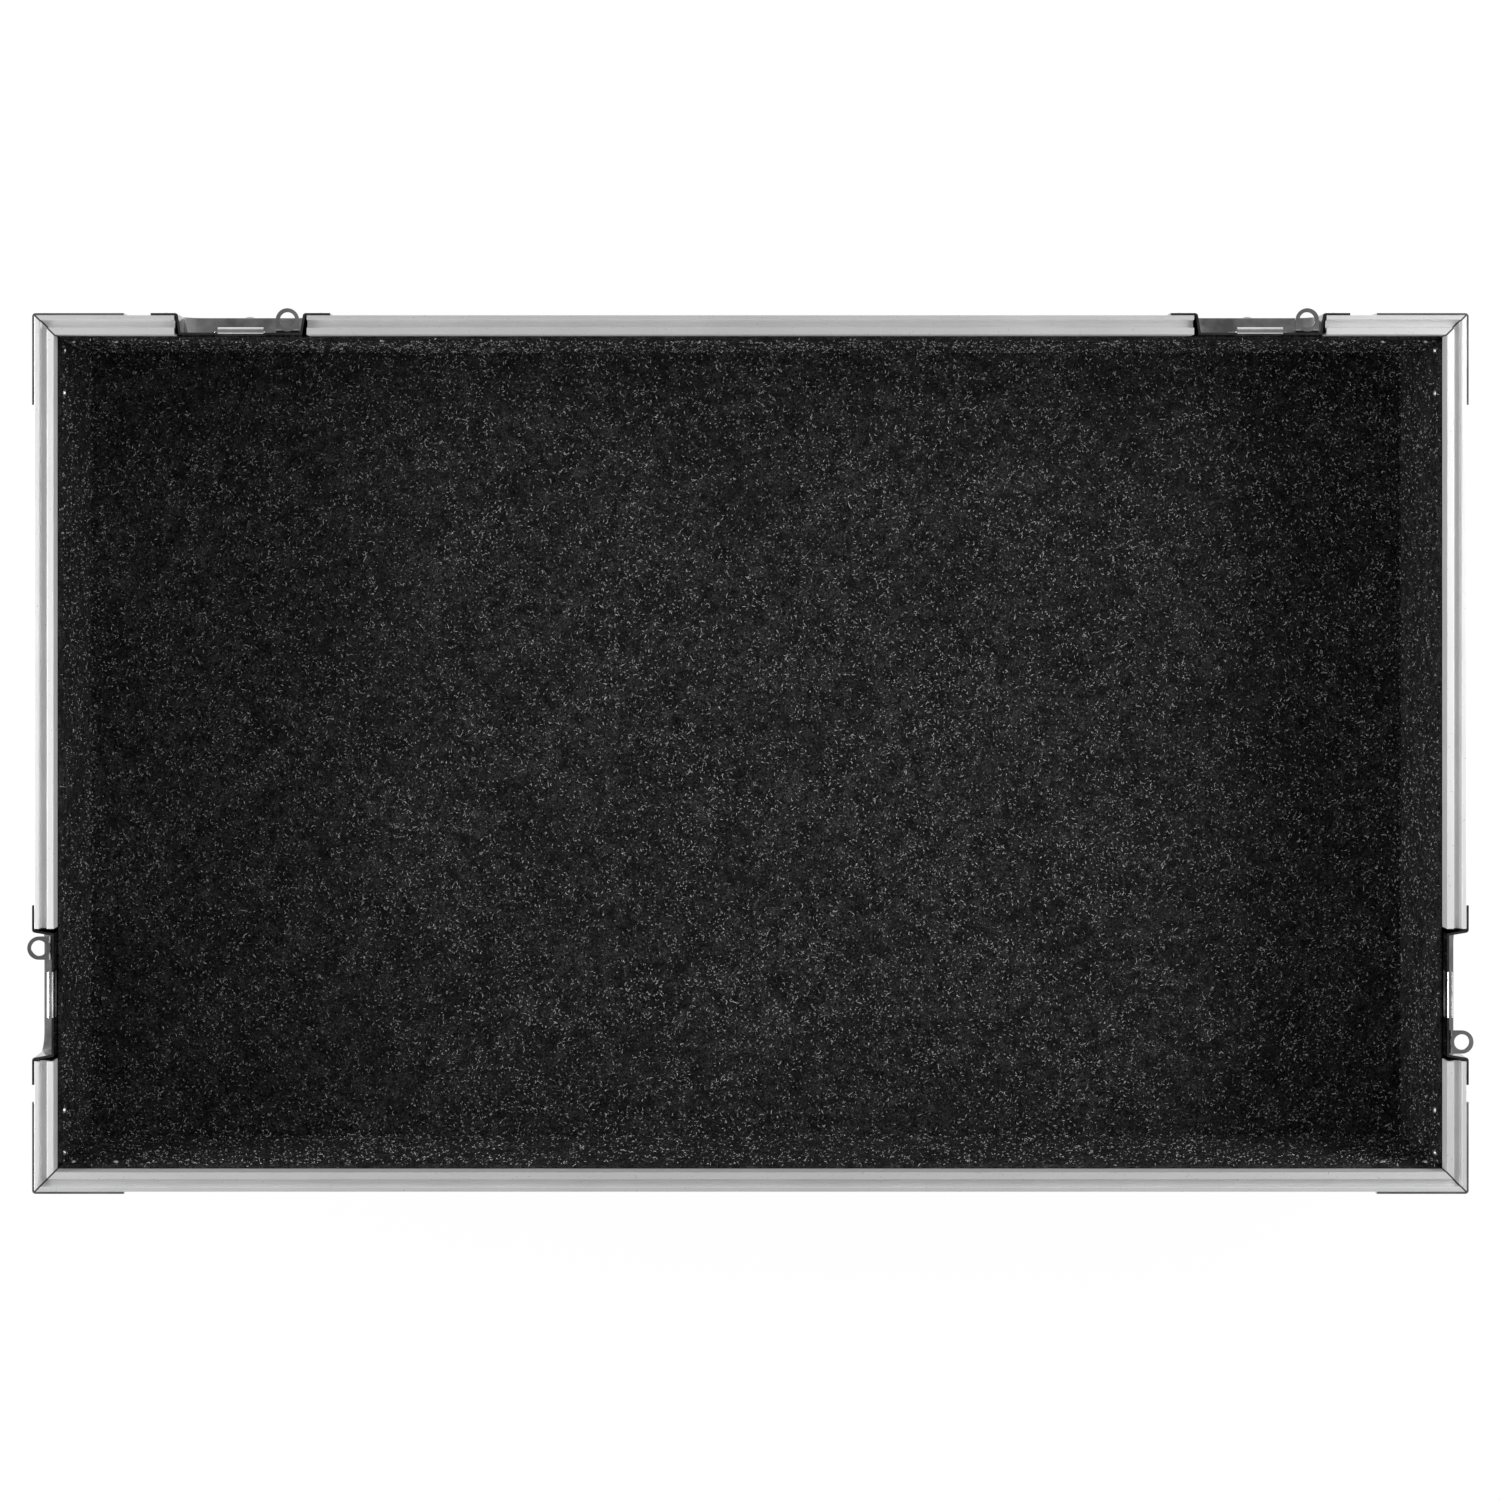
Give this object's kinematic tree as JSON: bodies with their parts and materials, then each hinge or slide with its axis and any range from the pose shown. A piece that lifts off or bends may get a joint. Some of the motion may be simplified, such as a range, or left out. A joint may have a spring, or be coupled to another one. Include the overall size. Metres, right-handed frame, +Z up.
{
  "type": "dj controller flight case shell",
  "caption": "Shallow carpet-lined flight case half with grooved aluminium rim, recessed latch keepers with padlock eyes, corner braces and ball corners.",
  "frame": {"origin": "centre of the bounding box in plan, at the lowest points of the four ball corners", "axes": "+Z up out of the open tray, +Y towards the long side with two latches, +X along the long side, to the right when that side is at the top of the view from above"},
  "size_m": [0.843, 0.521, 0.1335],
  "materials": {
    "laminate": "birch plywood with a fine-textured black phenolic laminate outside",
    "carpet": "black needled felt with lighter grey fibres",
    "extrusion": "bright anodised, fine lengthwise drawing lines",
    "plated_steel": "bright zinc or nickel plated pressed steel",
    "rivet_steel": "plated steel, upset by the rivet gun"
  },
  "bodies": {
    "root": {"ball_corner_back_left": "plated_steel", "ball_corner_back_right": "plated_steel", "ball_corner_front_left": "plated_steel", "ball_corner_front_right": "plated_steel", "ball_corner_rivets": "rivet_steel", "base_edge_back": "extrusion", "base_edge_front": "extrusion", "base_edge_left": "extrusion", "base_edge_right": "extrusion", "base_panel": "laminate", "brace_rivets": "rivet_steel", "carpet_back": "carpet", "carpet_floor": "carpet", "carpet_front": "carpet", "carpet_left": "carpet", "carpet_right": "carpet", "corner_angle_back_left": "extrusion", "corner_angle_back_right": "extrusion", "corner_angle_front_left": "extrusion", "corner_angle_front_right": "extrusion", "corner_brace_back_left": "plated_steel", "corner_brace_back_right": "plated_steel", "corner_brace_front_left": "plated_steel", "corner_brace_front_right": "plated_steel", "dish_rivets": "rivet_steel", "latch_dish_back_left": "plated_steel", "latch_dish_back_right": "plated_steel", "latch_dish_left": "plated_steel", "latch_dish_right": "plated_steel", "latch_keeper_back_left": "plated_steel", "latch_keeper_back_right": "plated_steel", "latch_keeper_left": "plated_steel", "latch_keeper_right": "plated_steel", "padlock_eye_back_left": "plated_steel", "padlock_eye_back_right": "plated_steel", "padlock_eye_left": "plated_steel", "padlock_eye_right": "plated_steel", "rim_rail_back_1": "extrusion", "rim_rail_back_2": "extrusion", "rim_rail_back_3": "extrusion", "rim_rail_front": "extrusion", "rim_rail_left_1": "extrusion", "rim_rail_left_2": "extrusion", "rim_rail_right_1": "extrusion", "rim_rail_right_2": "extrusion", "wall_panel_back": "laminate", "wall_panel_front": "laminate", "wall_panel_left": "laminate", "wall_panel_right": "laminate"}
  },
  "joints": []
}
